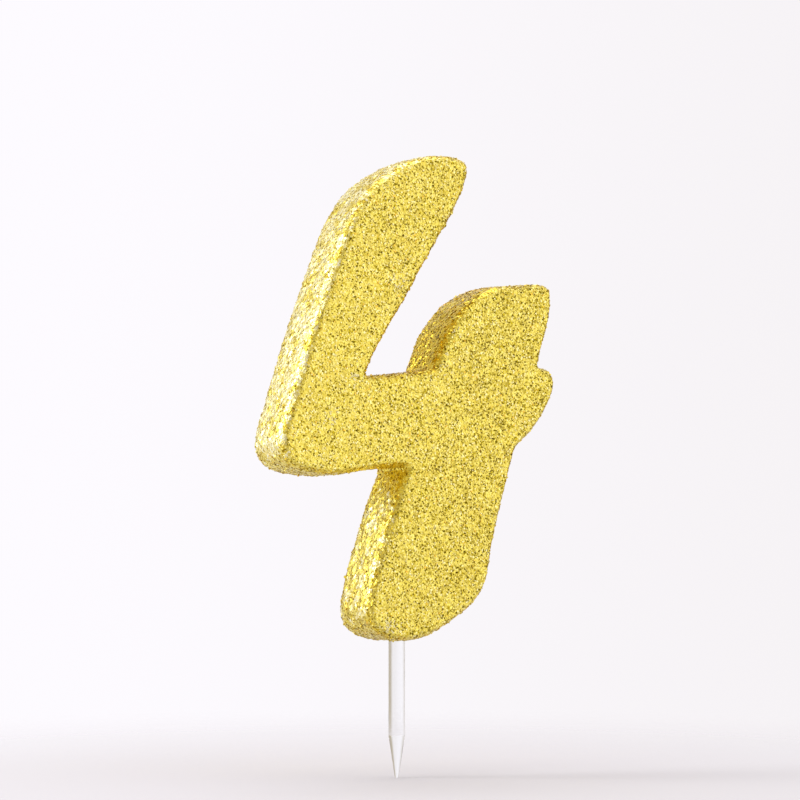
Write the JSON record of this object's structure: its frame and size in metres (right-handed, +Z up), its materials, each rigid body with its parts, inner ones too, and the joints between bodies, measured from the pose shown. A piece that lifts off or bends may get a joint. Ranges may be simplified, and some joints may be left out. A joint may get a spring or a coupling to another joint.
{
  "type": "number birthday candle",
  "caption": "Chunky open-topped figure four candle in wax with an all-over gold glitter coat, a fold-out wick at the back and a clear cake pick in the foot.",
  "frame": {"origin": "on the cake pick's axis, where the pick leaves the underside of the figure's foot", "axes": "+Z up along the pick, +X to the right of the figure as it is read, -Y out of the front face, +Y out of the back face where the wick is"},
  "size_m": [0.047, 0.0101, 0.0903],
  "materials": {
    "wax": "pale gold dyed paraffin wax, matte",
    "glitter": "fine gold film glitter set in clear lacquer",
    "wick": "braided cotton, waxed",
    "pick": "clear moulded plastic"
  },
  "bodies": {
    "pick": {"cake_pick": "pick"},
    "numeral": {"wax_numeral": "wax", "glitter_coat": "glitter", "wick_core": "wick"},
    "wick": {"wick_tail": "wick"}
  },
  "joints": [
    {"name": "numeral_lift", "type": "slide", "parent": "pick", "child": "numeral", "axis": [0, 0, 1], "range_m": [0, 0.0145]},
    {"name": "wick_fold", "type": "hinge", "parent": "numeral", "child": "wick", "pos_m": [0.0022, 0.0051, 0.0676], "axis": [1, 0, 0], "range_deg": [0, 175]}
  ]
}
